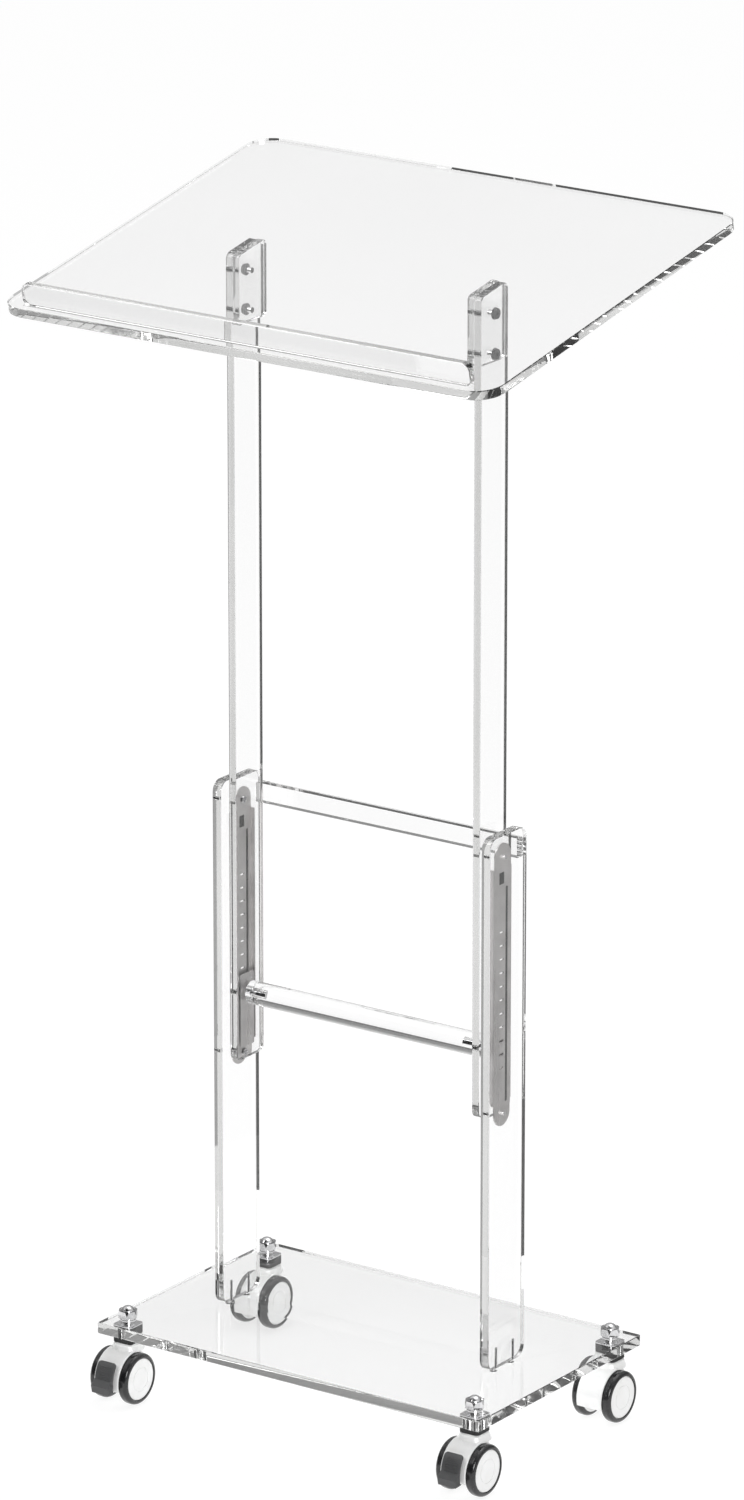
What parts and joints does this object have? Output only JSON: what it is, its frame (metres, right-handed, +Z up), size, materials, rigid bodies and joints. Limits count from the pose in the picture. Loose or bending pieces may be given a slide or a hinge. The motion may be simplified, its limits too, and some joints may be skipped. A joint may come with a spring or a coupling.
{
  "type": "lectern podium",
  "caption": "Clear acrylic lectern with a sloped reading desk and paper stop on a height-adjustable twin-post column, standing on a flat base with swivel casters.",
  "frame": {"origin": "on the floor, under the middle of the bounding box with the desk at its lowest", "axes": "+Z up, -Y towards the speaker at the desk's low front edge, +X to the speaker's right"},
  "size_m": [0.6, 0.4534, 1.2765],
  "materials": {
    "clear_acrylic": "clear polished acrylic sheet",
    "satin_steel": "satin",
    "chrome_hardware": "polished",
    "dark_screws": "black oxide",
    "black_rubber": "matte",
    "black_tyre": "glossy moulded",
    "white_plastic": "glossy white",
    "grey_plastic": "satin dark grey"
  },
  "bodies": {
    "base": {"base_plate": "clear_acrylic", "cap_nuts": "chrome_hardware", "caster_pads": "black_rubber", "caster_stems": "chrome_hardware", "lower_post_left": "clear_acrylic", "lower_post_right": "clear_acrylic", "post_foot_screws": "dark_screws", "rail_screws": "chrome_hardware", "ratchet_rail_left": "satin_steel", "ratchet_rail_right": "satin_steel", "stem_spring_washers": "chrome_hardware", "stem_washers": "chrome_hardware", "upper_crossbar": "clear_acrylic"},
    "upper_frame": {"bracket_screws": "dark_screws", "desk_bracket_left": "clear_acrylic", "desk_bracket_right": "clear_acrylic", "desk_panel": "clear_acrylic", "lower_crossbar_rod": "clear_acrylic", "paper_stop": "clear_acrylic", "pawl_pins": "chrome_hardware", "rod_bolts": "chrome_hardware", "rod_washers": "chrome_hardware", "slide_guide_pins": "chrome_hardware", "slide_plate_left": "satin_steel", "slide_plate_right": "satin_steel", "upper_post_left": "clear_acrylic", "upper_post_right": "clear_acrylic"},
    "pawl_left": {"ratchet_pawl_left": "satin_steel"},
    "pawl_right": {"ratchet_pawl_right": "satin_steel"},
    "caster_front_left": {"caster_hood_front_left": "white_plastic", "caster_axle_front_left": "chrome_hardware"},
    "wheel_front_left_l": {"tyre_front_left_l": "black_tyre", "hub_front_left_l": "white_plastic"},
    "wheel_front_left_r": {"tyre_front_left_r": "black_tyre", "hub_front_left_r": "white_plastic"},
    "caster_front_right": {"caster_hood_front_right": "white_plastic", "caster_axle_front_right": "chrome_hardware"},
    "wheel_front_right_l": {"tyre_front_right_l": "black_tyre", "hub_front_right_l": "white_plastic"},
    "wheel_front_right_r": {"tyre_front_right_r": "black_tyre", "hub_front_right_r": "white_plastic"},
    "caster_rear_left": {"caster_hood_rear_left": "white_plastic", "caster_axle_rear_left": "chrome_hardware"},
    "wheel_rear_left_l": {"tyre_rear_left_l": "black_tyre", "hub_rear_left_l": "white_plastic"},
    "wheel_rear_left_r": {"tyre_rear_left_r": "black_tyre", "hub_rear_left_r": "white_plastic"},
    "caster_rear_right": {"caster_hood_rear_right": "white_plastic", "caster_axle_rear_right": "chrome_hardware"},
    "wheel_rear_right_l": {"tyre_rear_right_l": "black_tyre", "hub_rear_right_l": "white_plastic"},
    "wheel_rear_right_r": {"tyre_rear_right_r": "black_tyre", "hub_rear_right_r": "white_plastic"},
    "brake_front_left": {"brake_pedal_front_left": "grey_plastic"},
    "brake_front_right": {"brake_pedal_front_right": "grey_plastic"}
  },
  "joints": [
    {"name": "height_lift", "type": "slide", "parent": "base", "child": "upper_frame", "axis": [0, 0, 1], "range_m": [0, 0.146]},
    {"name": "pawl_left_tilt", "type": "hinge", "parent": "upper_frame", "child": "pawl_left", "pos_m": [-0.16, -0.0085, 0.391], "axis": [0, -1, 0], "range_deg": [-1.5, 2.4], "stiffness_Nm_per_rad": 0.002},
    {"name": "pawl_right_tilt", "type": "hinge", "parent": "upper_frame", "child": "pawl_right", "pos_m": [0.16, -0.0085, 0.391], "axis": [0, 1, 0], "range_deg": [-1.5, 2.4], "stiffness_Nm_per_rad": 0.002},
    {"name": "swivel_front_left", "type": "hinge", "parent": "base", "child": "caster_front_left", "pos_m": [-0.22, -0.128, 0.06], "axis": [0, 0, 1], "continuous": true},
    {"name": "wheel_front_left_l_spin", "type": "hinge", "parent": "caster_front_left", "child": "wheel_front_left_l", "pos_m": [-0.22, -0.138, 0.0275], "axis": [1, 0, 0], "continuous": true},
    {"name": "wheel_front_left_r_spin", "type": "hinge", "parent": "caster_front_left", "child": "wheel_front_left_r", "pos_m": [-0.22, -0.138, 0.0275], "axis": [1, 0, 0], "continuous": true},
    {"name": "swivel_front_right", "type": "hinge", "parent": "base", "child": "caster_front_right", "pos_m": [0.22, -0.128, 0.06], "axis": [0, 0, 1], "continuous": true},
    {"name": "wheel_front_right_l_spin", "type": "hinge", "parent": "caster_front_right", "child": "wheel_front_right_l", "pos_m": [0.22, -0.138, 0.0275], "axis": [1, 0, 0], "continuous": true},
    {"name": "wheel_front_right_r_spin", "type": "hinge", "parent": "caster_front_right", "child": "wheel_front_right_r", "pos_m": [0.22, -0.138, 0.0275], "axis": [1, 0, 0], "continuous": true},
    {"name": "swivel_rear_left", "type": "hinge", "parent": "base", "child": "caster_rear_left", "pos_m": [-0.22, 0.12, 0.06], "axis": [0, 0, 1], "continuous": true},
    {"name": "wheel_rear_left_l_spin", "type": "hinge", "parent": "caster_rear_left", "child": "wheel_rear_left_l", "pos_m": [-0.22, 0.11, 0.0275], "axis": [1, 0, 0], "continuous": true},
    {"name": "wheel_rear_left_r_spin", "type": "hinge", "parent": "caster_rear_left", "child": "wheel_rear_left_r", "pos_m": [-0.22, 0.11, 0.0275], "axis": [1, 0, 0], "continuous": true},
    {"name": "swivel_rear_right", "type": "hinge", "parent": "base", "child": "caster_rear_right", "pos_m": [0.22, 0.12, 0.06], "axis": [0, 0, 1], "continuous": true},
    {"name": "wheel_rear_right_l_spin", "type": "hinge", "parent": "caster_rear_right", "child": "wheel_rear_right_l", "pos_m": [0.22, 0.11, 0.0275], "axis": [1, 0, 0], "continuous": true},
    {"name": "wheel_rear_right_r_spin", "type": "hinge", "parent": "caster_rear_right", "child": "wheel_rear_right_r", "pos_m": [0.22, 0.11, 0.0275], "axis": [1, 0, 0], "continuous": true},
    {"name": "brake_front_left_tilt", "type": "hinge", "parent": "caster_front_left", "child": "brake_front_left", "pos_m": [-0.22, -0.16268, 0.0461], "axis": [1, 0, 0], "range_deg": [0, 2.5]},
    {"name": "brake_front_right_tilt", "type": "hinge", "parent": "caster_front_right", "child": "brake_front_right", "pos_m": [0.22, -0.16268, 0.0461], "axis": [1, 0, 0], "range_deg": [0, 2.5]}
  ]
}
